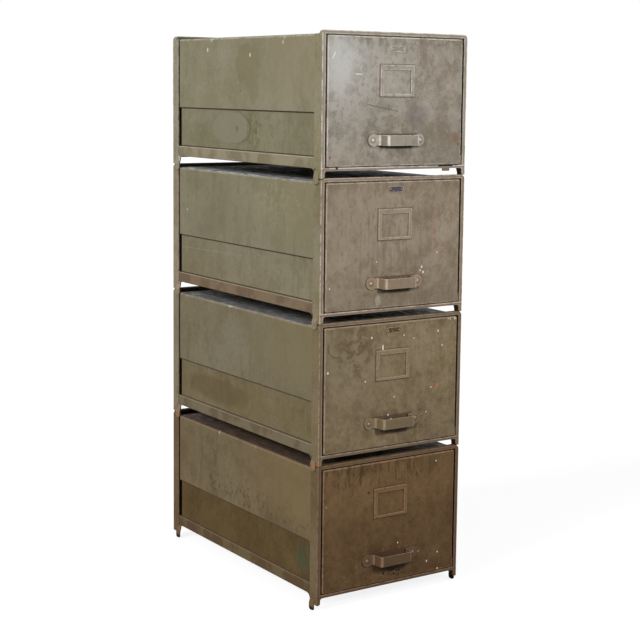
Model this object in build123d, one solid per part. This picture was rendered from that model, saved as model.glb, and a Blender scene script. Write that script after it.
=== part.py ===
from build123d import *
import os
from math import sqrt

# A stack of four steel file-drawer sections. Every section is the same product: two bent-angle
# hoops, a folded sheet case between them and one roller-run drawer. All sizes are millimetres.
# X runs across the front, +Y runs to the back and +Z is up. The origin lies on the floor, under
# the middle of the stack's bounding box, handles included.

# ---- driving sizes: the section ----
section_count = 4
section_pitch = 315.0          # leg bottom of one section to leg bottom of the next
case_width = 391.5
case_depth = 675.0

# ---- driving sizes: the two angle hoops ----
frame_stock = 2.5              # thickness of the angle
frame_face = 8.5               # face leg of the angle along the sides, seen from the front
frame_top_face = 7.5           # the same along the top
frame_corner_radius = 10.0     # outer bend at the two top corners
frame_edge_radius = 2.2        # rounded heel of the angle
front_leg_flange = 30.0        # side leg of the front hoop, along the depth
rear_leg_flange = 28.0
hoop_top_flange = 14.0         # the flange is trimmed to this along the top
leg_toe_radius = 5.0
cross_rail_bottom = 15.5       # above the leg bottoms
cross_rail_height = 7.0
cross_rail_edge = 1.5          # rounded upper edge of its face
cross_rail_depth = 24.0
cross_rail_fillet = 6.0
corner_lug_height = 21.5       # closes the drawer gap beside the cross rail
corner_lug_depth = 18.0

# ---- driving sizes: the sheet case ----
sheet = 1.2
case_top_gap = 7.5             # top of the hoop to the top sheet
case_bend_radius = 6.0
seam_height = 140.0            # lower edge of the upper side sheets
side_recess = 2.5              # the lower sides lie this far inside the upper ones
lap_under_seam = 6.0
side_rail_bottom = 20.0
side_rail_top = 45.0
side_rail_return = 12.0
rail_gusset_radius = 9.0
rear_slot = 8.0                # groove between the upper sides and the rear hoop
lower_rear_slot = 13.0         # wider slot beside the lower sides
rail_end_gap = 3.0             # face of the side rail to the rear hoop
back_flange_depth = 60.0
back_flange_inset = 7.0        # depth of the groove
sheet_bend = 1.8               # centre-line bend radius of the folded edges

# ---- driving sizes: the stacking tongues, formed from the side legs of the angle ----
tongue_width = 18.0
tongue_drop = 13.0             # below the leg bottoms, outside the hoop of the section below
tongue_root = 20.0             # height at which the strip leaves the leg
tongue_step_top = 12.0         # it steps outwards from here
tongue_step_bottom = 2.0       # down to here
tongue_corner_radius = 6.0
tongue_clearance = 0.4
front_tongue_inset = 10.0      # hoop face to tongue
rear_tongue_inset = 19.0

# ---- driving sizes: the drawer ----
drawer_side_gap = 4.0          # hoop to drawer front, each side
drawer_top_gap = 2.5
drawer_bottom_gap = 1.2
drawer_proud = 1.0             # front stands this far out of the hoop
front_sheet = 1.5
front_pan_depth = 22.0
front_edge_radius = 3.5
front_corner_radius = 5.0
box_side_gap = 7.3             # box side to the flanges of the tracks
box_floor_gap = 6.0            # lower edge of the front to the underside of the floor
box_rim_drop = 43.0            # top of the front to the box's rim
box_rear_gap = 27.0            # drawer box to the back sheet
rim_radius = 2.6
floor_bead_count = 4
floor_bead_radius = 5.0
floor_bead_inset = 22.0

# ---- driving sizes: rollers, tracks and drawer rails ----
roller_radius = 12.0
roller_width = 8.0
roller_groove = 1.2
pin_radius = 3.0
pin_clearance = 0.25
pin_head_radius = 5.0
pin_head = 1.6
roller_side_play = 0.4
roller_gap = 0.4               # roller rim to the strip it runs on
track_stock = 1.5
track_roller_height = 64.0     # axis of the drawer's rollers
track_flange = 14.5
track_front_depth = 62.0
track_stop_height = 8.0
case_roller_depth = 46.0       # axis of the case's rollers behind the front
case_roller_height = 68.5
drawer_roller_inset = 26.0     # axis of the drawer's rollers before the box's rear wall
drawer_rail_flange = 18.0
drawer_rail_web = 20.0
rail_ear_width = 28.0

# ---- driving sizes: front furniture ----
handle_length = 152.0
handle_height = 23.0
handle_ear_radius = 14.0       # round foot at each end, wider than the strap
handle_stock = 2.5
handle_standoff = 30.0
handle_face_half = 42.0
handle_foot_half = 45.0
handle_bend = 5.0
handle_centre_height = 80.5
handle_edge_bevel = 0.6
rivet_spacing = 128.0
rivet_head_radius = 4.6
rivet_head_height = 2.2
rivet_shank_radius = 2.4
rivet_clearance = 0.1
holder_width = 92.0
holder_height = 69.0
holder_drop = 60.5             # top of the front to the top of the holder
holder_rise = 3.2
holder_side_border = 9.5
holder_top_border = 11.5
holder_bottom_border = 6.5
holder_edge_radius = 1.3
holder_lip = 3.0
holder_pocket = 1.4

# ---- places worked out from the sizes ----
front_y = -(case_depth - handle_standoff - drawer_proud) / 2
rear_y = front_y + case_depth
half_width = case_width / 2
opening_half = half_width - frame_face
rail_top = cross_rail_bottom + cross_rail_height
hoop_opening_top = section_pitch - frame_top_face
case_top_height = section_pitch - case_top_gap
drawer_half = opening_half - drawer_side_gap
drawer_bottom = rail_top + drawer_bottom_gap
drawer_top = hoop_opening_top - drawer_top_gap
lower_outer = half_width - side_recess
lower_inner = lower_outer - sheet
track_web_inner = lower_inner - track_stock
box_half_width = track_web_inner - track_flange - box_side_gap
box_floor_height = drawer_bottom + box_floor_gap
box_side_top = drawer_top - box_rim_drop
holder_top = drawer_top - holder_drop
box_front_depth = front_pan_depth - drawer_proud
box_rear_depth = case_depth - frame_stock - sheet - box_rear_gap
drawer_roller_depth = box_rear_depth - drawer_roller_inset
rail_sheet_bottom = case_roller_height + roller_radius + roller_gap
roller_outer = track_web_inner - track_stock - pin_head - 2 * roller_side_play
roller_inner = roller_outer - roller_width
stop_reach = sqrt(roller_radius ** 2 - (roller_radius + roller_gap - track_stop_height) ** 2)
drawer_travel = drawer_roller_depth - track_front_depth - track_stock - stop_reach - roller_gap
front_face_y = front_y - drawer_proud


def at_depth(depth):
    """Y of a plane this far behind the front of the hoops."""
    return front_y + depth


def along_depth(sketch, start, end):
    """Carry a front-view sketch from one depth to another."""
    plane = Plane(origin=(0, at_depth(start), 0), x_dir=(1, 0, 0), z_dir=(0, -1, 0))
    return extrude(plane * sketch, amount=end - start, dir=(0, 1, 0))


def across(sketch, start, end):
    """Carry a side-view sketch (depth, height) from one x to another."""
    plane = Plane(origin=(start, front_y, 0), x_dir=(0, 1, 0), z_dir=(1, 0, 0))
    return extrude(plane * sketch, amount=end - start, dir=(1, 0, 0))


def block(x_range, depth_range, z_range):
    """A plain bar between two values on each axis."""
    width, height = x_range[1] - x_range[0], z_range[1] - z_range[0]
    middle = ((x_range[0] + x_range[1]) / 2, (z_range[0] + z_range[1]) / 2)
    return along_depth(Pos(*middle) * Rectangle(width, height), *depth_range)


def arch(half, top, radius, bottom=0.0):
    """Front-view outline with two rounded top corners."""
    face = Pos(0, (top + bottom) / 2) * Rectangle(2 * half, top - bottom)
    return fillet(face.vertices().group_by(Axis.Y)[-1], radius)


def folded(points, thickness, bend):
    """Section of a folded sheet about its centre line."""
    return trace(FilletPolyline(*points, radius=bend), line_width=thickness)


def both_sides(shape):
    """A piece and its mirror image, as two separate solids."""
    return Compound([shape, mirror(shape, about=Plane.YZ)])


def pin_along_x(radius, start, end, depth, height):
    """A round bar across the section."""
    return across(Pos(depth, height) * Circle(radius), start, end)


def angle_hoop(leg_flange, tongue_inset):
    """Bent angle with its face at the front plane: legs, top, cross rail and the two tongues."""
    outline = arch(half_width, section_pitch, frame_corner_radius)
    inside = arch(half_width - frame_stock, section_pitch - frame_stock,
                  frame_corner_radius - frame_stock)
    opening = arch(opening_half, hoop_opening_top, frame_corner_radius - frame_face, rail_top)
    under_rail = arch(opening_half, cross_rail_bottom, cross_rail_fillet)
    face = outline - opening - under_rail
    toes = face.vertices().filter_by_position(Axis.Y, -0.01, 0.01)
    toes = toes.filter_by_position(Axis.X, -opening_half - 0.01, opening_half + 0.01)
    face = fillet(toes, leg_toe_radius)
    hoop = along_depth(face, 0, frame_stock)
    hoop += along_depth(outline - inside, 0, leg_flange)
    trim = block((-half_width, half_width), (hoop_top_flange, leg_flange),
                 (case_top_height, section_pitch))
    hoop -= trim
    heel = hoop.edges().filter_by_position(Axis.Y, front_y - 0.01, front_y + 0.01)
    lip = [edge for edge in heel if abs((edge @ 0.5).Z - rail_top) < 0.01]
    heel = [edge for edge in heel if on_outline(edge)]
    hoop = fillet(heel, frame_edge_radius)
    hoop = fillet(lip, cross_rail_edge)
    hoop += block((-half_width + frame_stock, half_width - frame_stock),
                  (frame_stock, cross_rail_depth), (rail_top - frame_stock, rail_top))
    for side in (-1, 1):
        hoop -= block(sorted((side * (half_width - frame_stock), side * half_width)),
                      (tongue_inset, leg_flange), (0, tongue_root))
    right = tongue(tongue_inset)
    return hoop + right + mirror(right, about=Plane.YZ)


def tongue(inset):
    """Right stacking tongue: the leg's strip, joggled out so that it hangs outside the section below."""
    inner = half_width - frame_stock / 2
    outer = half_width + tongue_clearance + frame_stock / 2
    line = [(inner, tongue_root), (inner, tongue_step_top), (outer, tongue_step_bottom),
            (outer, -tongue_drop)]
    strip = along_depth(folded(line, frame_stock, frame_stock), inset, inset + tongue_width)
    height = tongue_root + tongue_drop
    profile = Pos(inset + tongue_width / 2, tongue_root - height / 2) * Rectangle(tongue_width, height)
    profile = fillet(profile.vertices().group_by(Axis.Y)[0], tongue_corner_radius)
    return strip & across(profile, 0, case_width)


def on_outline(edge):
    """True for the outer edges of the hoop's face, apart from the ends of the legs."""
    middle = edge @ 0.5
    at_rim = abs(middle.X) > opening_half + 1 or middle.Z > hoop_opening_top + 1
    return at_rim and middle.Z > leg_toe_radius


def front_frame():
    """Front hoop with the two lugs that close the drawer gap beside the cross rail."""
    hoop = angle_hoop(front_leg_flange, front_tongue_inset)
    inner = drawer_half + (opening_half - drawer_half) / 4
    lug = block((inner, half_width - frame_stock), (frame_stock + drawer_proud,
                frame_stock + drawer_proud + corner_lug_depth), (rail_top, rail_top + corner_lug_height))
    return hoop + lug + mirror(lug, about=Plane.YZ)


def rear_frame():
    """Rear hoop: the same angle, turned round."""
    hoop = mirror(angle_hoop(rear_leg_flange, rear_tongue_inset), about=Plane.XZ)
    return hoop.moved(Location((0, front_y + rear_y, 0)))


def case_cover():
    """Top and upper sides folded from one sheet, hemmed inwards along the lower and rear edges."""
    start = front_leg_flange
    end = case_depth - rear_leg_flange - rear_slot
    shell = arch(half_width, case_top_height, case_bend_radius, seam_height)
    shell -= arch(half_width - sheet, case_top_height - sheet, case_bend_radius - sheet, seam_height)
    cover = along_depth(shell, start, end)
    tab_half = half_width - frame_corner_radius
    cover += block((-tab_half, tab_half), (frame_stock, start + sheet),
                   (case_top_height - sheet, case_top_height))
    hem = block((lower_outer, half_width - sheet / 2), (start, end), (seam_height, seam_height + sheet))
    hem += block((half_width - back_flange_inset, half_width - sheet / 2), (end - sheet, end),
                 (seam_height, case_top_height - case_bend_radius))
    return cover + hem + mirror(hem, about=Plane.YZ)


def lower_side():
    """Right lower side: a recessed sheet folded out at its foot into the bottom rail."""
    start = front_leg_flange
    centre = lower_outer - sheet / 2
    rail_centre = half_width - sheet / 2
    profile = [(centre, seam_height + lap_under_seam), (centre, side_rail_top - sheet / 2),
               (rail_centre, side_rail_top - sheet / 2), (rail_centre, side_rail_bottom + sheet / 2),
               (half_width - side_rail_return, side_rail_bottom + sheet / 2)]
    bend = min(sheet_bend, side_recess / 2.2)
    side = along_depth(folded(profile, sheet, bend), start, case_depth - rear_leg_flange)
    side -= block((0, half_width), (case_depth - rear_leg_flange - lower_rear_slot, case_depth),
                  (side_rail_top, section_pitch))
    rail_end = case_depth - rear_leg_flange - rail_end_gap
    side -= block((half_width - sheet, half_width), (rail_end, case_depth),
                  (side_rail_bottom + sheet, side_rail_top))
    rear = case_depth - rear_tongue_inset - tongue_width
    for depth, way in ((start, 1), (rear, -1)):
        side -= block((0, half_width - sheet), sorted((depth, depth + way * 2 * rail_gusset_radius)),
                      (side_rail_bottom - 1, side_rail_bottom + 2 * sheet))
        side += across(rail_gusset(depth, way), half_width - sheet, half_width)
    return side


def rail_gusset(depth, way):
    """Concave web that turns the rail's lower edge down into the leg."""
    r = rail_gusset_radius
    square = Pos(depth + way * r / 2, side_rail_bottom - r / 2 + 0.5) * Rectangle(r, r + 1)
    return square - Pos(depth + way * r, side_rail_bottom - r) * Circle(r)


def back_panel():
    """Back sheet with a forward flange that lies inside the cover."""
    half = half_width - frame_stock
    depth = case_depth - frame_stock
    plate = arch(half, section_pitch - frame_stock, frame_corner_radius - frame_stock, rail_top)
    panel = along_depth(plate, depth - sheet, depth)
    top = case_top_height - sheet
    radius = case_bend_radius - sheet
    outer = half_width - back_flange_inset
    ring = arch(outer, top, radius, seam_height + lap_under_seam)
    ring -= arch(outer - sheet, top - sheet, radius - sheet, seam_height + lap_under_seam)
    return panel + along_depth(ring, depth - back_flange_depth, depth - sheet)


def track():
    """Right track: a channel for the drawer's roller, with a stop tab and the pin of the case roller."""
    low = track_roller_height - roller_radius - roller_gap - track_stock
    high = track_roller_height + roller_radius + roller_gap + track_stock
    end = case_depth - rear_leg_flange - lower_rear_slot
    start = front_leg_flange + 1
    web_top = max(high, case_roller_height + pin_head_radius + track_stock)
    rail = block((track_web_inner, lower_inner), (start, end), (low, web_top))
    inner = track_web_inner - track_flange
    for z_low in (low, high - track_stock):
        rail += block((inner, track_web_inner), (track_front_depth, end), (z_low, z_low + track_stock))
    rail += block((inner, track_web_inner), (track_front_depth, track_front_depth + track_stock),
                  (low, low + track_stock + track_stop_height))
    place = (case_roller_depth, case_roller_height)
    rail += pin_along_x(pin_radius, roller_inner - roller_side_play, track_web_inner, *place)
    rail += pin_along_x(pin_head_radius, roller_outer + roller_side_play, track_web_inner, *place)
    head_end = roller_inner - roller_side_play
    return rail + pin_along_x(pin_head_radius, head_end - pin_head, head_end, *place)


def roller(depth, height):
    """Right roller: a turned wheel with a shallow groove, bored for its pin."""
    bore = pin_radius + pin_clearance
    middle = roller_width / 2
    half = [(bore, -middle), (roller_radius - 1, -middle), (roller_radius, -middle + 1),
            (roller_radius, -roller_groove), (roller_radius - roller_groove, 0),
            (roller_radius, roller_groove), (roller_radius, middle - 1),
            (roller_radius - 1, middle), (bore, middle)]
    wheel = revolve(Plane.XZ * make_face(Polyline(*half, close=True)), Axis.Z)
    place = Location((roller_inner + middle, at_depth(depth), height), (0, 90, 0))
    return wheel.moved(place)


def drawer_front():
    """Pan-shaped front: a flat sheet with rounded edges and a return all round, bored for the rivets."""
    height = drawer_top - drawer_bottom
    outline = Pos(0, (drawer_top + drawer_bottom) / 2) * RectangleRounded(
        2 * drawer_half, height, front_corner_radius)
    hollow = Pos(0, (drawer_top + drawer_bottom) / 2) * RectangleRounded(
        2 * (drawer_half - front_sheet), height - 2 * front_sheet, front_corner_radius - front_sheet)
    pan = along_depth(outline, -drawer_proud, box_front_depth)
    rim = pan.edges().filter_by_position(Axis.Y, front_face_y - 0.01, front_face_y + 0.01)
    pan = fillet(rim, front_edge_radius)
    pan -= along_depth(hollow, -drawer_proud + front_sheet, box_front_depth)
    return pan - rivet_holes(-drawer_proud, -drawer_proud + front_sheet)


def rivet_holes(start, end):
    """Two round holes for the handle's rivets."""
    hole = Circle(rivet_shank_radius + rivet_clearance)
    pair = [along_depth(Pos(side * rivet_spacing / 2, handle_centre_height) * hole, start, end)
            for side in (-1, 1)]
    return pair[0] + pair[1]


def drawer_box():
    """Open box with a wide front wall, a rolled rim and cross beads pressed up in its floor."""
    height = drawer_top - drawer_bottom
    front_wall = Pos(0, (drawer_top + drawer_bottom) / 2) * RectangleRounded(
        2 * drawer_half, height, front_corner_radius)
    box = along_depth(front_wall, box_front_depth, box_front_depth + sheet)
    box += block((-box_half_width, box_half_width), (box_front_depth + sheet, box_rear_depth),
                 (box_floor_height, box_side_top))
    inside = box_half_width - sheet
    box -= block((-inside, inside), (box_front_depth + sheet, box_rear_depth - sheet),
                 (box_floor_height + sheet, section_pitch))
    box += rolled_rim()
    return box + floor_beads()


def rolled_rim():
    """Round bead along the top of the sides and the rear wall."""
    x = box_half_width - sheet / 2
    front, rear = at_depth(box_front_depth + sheet), at_depth(box_rear_depth - sheet / 2)
    top = box_side_top
    path = FilletPolyline((-x, front, top), (-x, rear, top), (x, rear, top), (x, front, top),
                          radius=2 * rim_radius)
    section = Plane(origin=path @ 0, z_dir=path % 0) * Circle(rim_radius)
    return sweep(section, path=path)


def floor_beads():
    """Half-round stiffening beads across the floor."""
    first = box_front_depth + sheet + 2 * floor_bead_inset
    last = box_rear_depth - 2 * floor_bead_inset
    step = (last - first) / (floor_bead_count - 1)
    half = box_half_width - floor_bead_inset
    top = box_floor_height + sheet
    cap = Circle(floor_bead_radius) & Pos(0, floor_bead_radius / 2) * Rectangle(
        2 * floor_bead_radius, floor_bead_radius)
    bead = across(Pos(first, top) * cap, -half, half)
    beads = bead
    for number in range(1, floor_bead_count):
        beads += bead.moved(Location((0, number * step, 0)))
    return beads


def drawer_rail():
    """Right drawer rail: an angle on the box side, run on the case roller, with the rear ear and pin."""
    start, end = box_front_depth + sheet, box_rear_depth
    low = rail_sheet_bottom
    rail = block((box_half_width, box_half_width + track_stock), (start, end), (low, low + drawer_rail_web))
    rail += block((box_half_width, box_half_width + drawer_rail_flange), (start, end),
                  (low, low + track_stock))
    ear = Pos(drawer_roller_depth, (low + track_roller_height) / 2) * Rectangle(
        rail_ear_width, low - track_roller_height)
    ear += Pos(drawer_roller_depth, track_roller_height) * Circle(rail_ear_width / 2 - 4)
    rail += across(ear, box_half_width, box_half_width + track_stock)
    place = (drawer_roller_depth, track_roller_height)
    rail += pin_along_x(pin_radius, box_half_width + track_stock, roller_outer + roller_side_play, *place)
    rail += pin_along_x(pin_head_radius, box_half_width + track_stock,
                        roller_inner - roller_side_play, *place)
    head_start = roller_outer + roller_side_play
    return rail + pin_along_x(pin_head_radius, head_start, head_start + pin_head, *place)


def handle():
    """Pull bent from one flat strap: two round feet, two legs and the straight grip."""
    seat = front_face_y - handle_stock / 2
    grip = front_face_y - handle_standoff + handle_stock / 2
    end = handle_length / 2
    line = [(-end, seat), (-handle_foot_half, seat), (-handle_face_half, grip),
            (handle_face_half, grip), (handle_foot_half, seat), (end, seat)]
    low = handle_centre_height - handle_ear_radius
    strap = extrude(Pos(0, 0, low) * folded(line, handle_stock, handle_bend),
                    amount=2 * handle_ear_radius)
    ear = end - handle_ear_radius
    blank = Rectangle(2 * ear, handle_height)
    blank += Pos(-ear, 0) * Circle(handle_ear_radius) + Pos(ear, 0) * Circle(handle_ear_radius)
    strap &= along_depth(Pos(0, handle_centre_height) * blank, -drawer_proud - handle_standoff,
                         -drawer_proud)
    edges = [edge for edge in strap.edges() if is_strap_edge(edge)]
    strap = chamfer(edges, handle_edge_bevel)
    return strap - rivet_holes(-drawer_proud - handle_stock, -drawer_proud)


def is_strap_edge(edge):
    """True for the long outer edges of the grip and its two legs."""
    middle = edge @ 0.5
    level = abs(abs(middle.Z - handle_centre_height) - handle_height / 2) < 0.01
    outer = middle.Y < front_face_y - handle_standoff + 0.01
    return level and outer


def rivet(side):
    """Domed rivet: head on the handle, shank through the strap and the front, flat set head behind."""
    r, h = rivet_head_radius, rivet_head_height
    sphere = (r * r + h * h) / (2 * h)
    through = handle_stock + front_sheet
    dome = Pos(0, 0, h - sphere) * Sphere(sphere)
    dome &= Pos(0, 0, h / 2) * Box(2 * r, 2 * r, h)
    body = dome + Pos(0, 0, -through / 2) * Cylinder(rivet_shank_radius, through)
    body += Pos(0, 0, -through - pin_head / 2) * Cylinder(0.85 * r, pin_head)
    seat_y = front_face_y - handle_stock
    return body.moved(Location((side * rivet_spacing / 2, seat_y, handle_centre_height), (90, 0, 0)))


def card_holder():
    """Pressed frame with rounded edges and a pocket behind it that is open at the top."""
    middle = holder_top - holder_height / 2
    plate = along_depth(Pos(0, middle) * RectangleRounded(holder_width, holder_height, 2),
                        -drawer_proud - holder_rise, -drawer_proud)
    low = holder_top - holder_height + holder_bottom_border
    high = holder_top - holder_top_border
    half = holder_width / 2 - holder_side_border
    plate -= along_depth(Pos(0, (low + high) / 2) * Rectangle(2 * half, high - low),
                         -drawer_proud - holder_rise, -drawer_proud)
    face = front_face_y - holder_rise
    rims = plate.edges().filter_by_position(Axis.Y, face - 0.01, face + 0.01)
    plate = fillet(rims, holder_edge_radius)
    pocket_half = holder_width / 2 - holder_lip
    return plate - block((-pocket_half, pocket_half), (-drawer_proud - holder_pocket, -drawer_proud),
                         (holder_top - holder_height + holder_lip, holder_top))


def section_pieces():
    """One section, with its leg bottoms at height zero."""
    return {
        "front_frame": front_frame(),
        "rear_frame": rear_frame(),
        "case_cover": case_cover(),
        "lower_sides": both_sides(lower_side()),
        "back_panel": back_panel(),
        "drawer_tracks": both_sides(track()),
        "case_rollers": both_sides(roller(case_roller_depth, case_roller_height)),
        "drawer_box": drawer_box(),
        "drawer_rails": both_sides(drawer_rail()),
        "drawer_rollers": both_sides(roller(drawer_roller_depth, track_roller_height)),
        "drawer_front": drawer_front(),
        "handle": handle(),
        "handle_rivets": Compound([rivet(-1), rivet(1)]),
        "card_holder": card_holder(),
    }


os.makedirs("parts", exist_ok=True)
pieces = section_pieces()
for number in range(1, section_count + 1):
    base = tongue_drop + (section_count - number) * section_pitch
    for name, shape in pieces.items():
        export_step(shape.moved(Location((0, 0, base))), f"parts/section_{number}_{name}.step")
print(f"drawer travel {drawer_travel:.1f} mm, height {section_count * section_pitch + tongue_drop:.0f} mm")
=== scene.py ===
from math import radians

import bpy
import numpy as np
from mathutils import Matrix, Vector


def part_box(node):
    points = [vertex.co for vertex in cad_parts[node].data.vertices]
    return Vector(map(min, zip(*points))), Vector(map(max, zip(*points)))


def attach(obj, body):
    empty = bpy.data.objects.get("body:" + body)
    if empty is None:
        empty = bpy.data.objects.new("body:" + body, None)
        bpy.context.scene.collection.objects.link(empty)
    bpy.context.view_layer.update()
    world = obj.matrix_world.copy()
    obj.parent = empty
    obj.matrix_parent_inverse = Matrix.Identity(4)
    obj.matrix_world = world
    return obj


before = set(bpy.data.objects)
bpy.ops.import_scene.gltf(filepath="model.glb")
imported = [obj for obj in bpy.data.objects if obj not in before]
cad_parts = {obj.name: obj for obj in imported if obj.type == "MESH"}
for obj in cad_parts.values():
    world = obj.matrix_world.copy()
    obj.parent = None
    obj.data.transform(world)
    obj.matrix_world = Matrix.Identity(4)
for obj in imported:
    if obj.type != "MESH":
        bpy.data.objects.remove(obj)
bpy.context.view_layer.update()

# A stack of four steel file-drawer sections, one standing on the other. Section 1 is the top one.
# The imported solids are the frame; below, piece by piece, come their enamels and the small plates.


# ---- Angle hoops -------------------------------------------------------------------------------
# Each section hangs between two hoops bent from rolled steel angle, with a cross rail welded in
# under the drawer and tongues that hook outside the hoop below. They were dipped in olive-grey
# enamel, which rusts at the joints. The pale pink lines along the heel and the inner edge of the
# angle are partly rubbed paint and partly a painted highlight, and the pale line along the top of
# the cross rail is a painted highlight.
class Term:
    """One output of a material's node. Arithmetic on terms adds Math nodes."""

    def __init__(self, tree, socket):
        self.tree = tree
        self.socket = socket

    def node(self, kind, sockets, output=0, **settings):
        """Add a node: its settings first, then the values or links of its sockets."""
        made = self.tree.nodes.new("ShaderNode" + kind)
        for name, value in settings.items():
            setattr(made, name, value)
        for key, value in sockets.items():
            if isinstance(value, Term):
                self.tree.links.new(value.socket, made.inputs[key])
            else:
                made.inputs[key].default_value = value
        return Term(self.tree, made.outputs[output])

    def math(self, operation, *values):
        return self.node("Math", dict(enumerate(values)), operation=operation)

    def __add__(self, other):
        return self.math("ADD", self, other)

    def __sub__(self, other):
        return self.math("SUBTRACT", self, other)

    def __rsub__(self, other):
        return self.math("SUBTRACT", other, self)

    def __mul__(self, other):
        return self.math("MULTIPLY", self, other)

    def __truediv__(self, other):
        return self.math("DIVIDE", self, other)

    def __pow__(self, other):
        return self.math("POWER", self, other)

    def __abs__(self):
        return self.math("ABSOLUTE", self)

    __radd__ = __add__
    __rmul__ = __mul__

    def most(self, other):
        return self.math("MAXIMUM", self, other)

    def least(self, other):
        return self.math("MINIMUM", self, other)

    def ease(self, start, end):
        """Smooth step: 0 before start and 1 past end. With start above end it falls instead."""
        sockets = {"Value": self, "From Min": start, "From Max": end}
        return self.node("MapRange", sockets, interpolation_type="SMOOTHSTEP")

    def near(self, at, half, soft):
        """1 within half of a value, fading out over the soft width beyond."""
        return abs(self - at).ease(half + soft, half)

    def between(self, low, high, soft):
        """1 from low to high, fading over the soft width outside."""
        return self.near((low + high) / 2, (high - low) / 2, soft)


def tone(red, green, blue):
    """A paint colour, from the 0 to 255 numbers of a colour picker to linear light."""
    steps = [v / 255 for v in (red, green, blue)]
    return (*[v / 12.92 if v < 0.04045 else ((v + 0.055) / 1.055) ** 2.4 for v in steps], 1)


class Surface:
    """A material and the point being shaded, in millimetres above the section's leg bottoms."""

    def __init__(self, name, base):
        self.material = bpy.data.materials.new(name)
        self.material.use_nodes = True
        tree = self.material.node_tree
        tree.nodes.clear()
        self.output = tree.nodes.new("ShaderNodeOutputMaterial")
        start = Term(tree, None)
        self.place = start.node("TexCoord", {}, "Object")
        sockets = {0: self.place, 1: (1000, 1000, 1000), 2: (0, 0, -base)}
        self.place = start.node("VectorMath", sockets, operation="MULTIPLY_ADD")
        self.x, self.y, self.z = [start.node("SeparateXYZ", {0: self.place}, n) for n in (0, 1, 2)]
        self.colour = None
        self.rough = None
        self.height = None

    def point(self, size, seed, stretch=(1, 1, 1)):
        """The point measured in lumps of this size, moved to its own part of the pattern."""
        scale = tuple(1 / (size * s) for s in stretch)
        move = (seed * 7.31, seed * 3.17, seed * 5.73)
        sockets = {0: self.place, 1: scale, 2: move}
        return self.place.node("VectorMath", sockets, operation="MULTIPLY_ADD")

    def cloud(self, size, seed, stretch=(1, 1, 1), detail=4, rough=0.55):
        """Cloudy pattern from 0 to 1 about 0.5, with lumps of this size."""
        sockets = {"Vector": self.point(size, seed, stretch), "Scale": 1, "Detail": detail,
                   "Roughness": rough}
        return self.place.node("TexNoise", sockets)

    def specks(self, size, radius, share, seed):
        """Round specks: one cell in so many holds one, of this radius as a share of the cell."""
        point = self.point(size, seed)
        distance = self.place.node("TexVoronoi", {"Vector": point, "Scale": 1})
        cell = self.place.node("TexVoronoi", {"Vector": point, "Scale": 1}, 1)
        pick = self.place.node("SeparateColor", {0: cell}, 0)
        return distance.ease(radius, radius * 0.6) * pick.math("LESS_THAN", pick, share)

    def scratches(self, size, width, seed, stretch=(1, 1, 1), share=0.55):
        """Thin wandering lines along the borders of large cells, broken up by a cloud."""
        sockets = {"Vector": self.point(size, seed, stretch), "Scale": 1}
        line = self.place.node("TexVoronoi", sockets, feature="DISTANCE_TO_EDGE")
        broken = self.cloud(size * 0.6, seed + 5).ease(share, share + 0.1)
        return line.ease(width / size, 0) * broken

    def spot(self, along, at, half, ragged=0.0, seed=0, soft=0.25):
        """Oval mark at (along, height) with half sizes in millimetres and a ragged border."""
        reach = (((along - at[0]) / half[0]) ** 2 + ((self.z - at[1]) / half[1]) ** 2) ** 0.5
        if ragged:
            reach = reach + (self.cloud(max(half) * 0.5, seed) - 0.5) * ragged
        return reach.ease(1 + soft, 1 - soft)

    def tint(self, colour, mask):
        """Lay a colour over what is there, where the mask is."""
        sockets = {0: mask, 6: self.colour, 7: colour}
        self.colour = self.place.node("Mix", sockets, 2, data_type="RGBA")

    def enamel(self, base, dark, pale, seed, runs=0.35):
        """Old enamel: broad fading, crisp-edged patches, runs down the sheet and fine mottling."""
        broad = self.cloud(190, seed, detail=3)
        patch = self.cloud(60, seed + 1, detail=6, rough=0.6)
        run = self.cloud(26, seed + 2, stretch=(1, 1, 5), detail=5)
        mottle = self.cloud(13, seed + 3, detail=3)
        grain = self.cloud(2.6, seed + 4, detail=2)
        self.colour = base
        self.tint(pale, broad.ease(0.48, 0.7) * 0.5)
        self.tint(dark, broad.ease(0.5, 0.3) * 0.45)
        self.tint(dark, patch.ease(0.53, 0.6) * 0.32)
        self.tint(pale, patch.ease(0.45, 0.38) * 0.25)
        self.tint(dark, run.ease(0.55, 0.66) * runs)
        self.tint(dark, mottle.ease(0.52, 0.7) * 0.35)
        self.tint(pale, mottle.ease(0.46, 0.3) * 0.3)
        self.tint(dark, grain.ease(0.52, 0.75) * 0.5)
        self.tint(pale, grain.ease(0.48, 0.25) * 0.4)
        self.rough = 0.45 + patch * 0.2
        self.height = self.cloud(60, seed + 5, detail=1) * 0.5 + mottle * 0.05

    def finish(self, bump=1.0, metallic=0.0, specular=0.25):
        """Join colour, roughness and height (millimetres) to the shader and return the material."""
        sockets = {"Height": self.height, "Distance": 0.001, "Strength": bump}
        normal = self.place.node("Bump", sockets)
        sockets = {"Base Color": self.colour, "Roughness": self.rough, "Metallic": metallic,
                   "Specular IOR Level": specular, "Normal": normal}
        shader = self.place.node("BsdfPrincipled", sockets)
        shader.tree.links.new(shader.socket, self.output.inputs["Surface"])
        return self.material


def dress(node, material):
    """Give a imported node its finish."""
    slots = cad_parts[node].data.materials
    slots.clear()
    slots.append(material)


def leg_bottom(number):
    """Height of a section's leg bottoms, which its own tongues pass."""
    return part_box(f"section_{number}_front_frame")[0].z * 1000 + TONGUE_DROP


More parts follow.
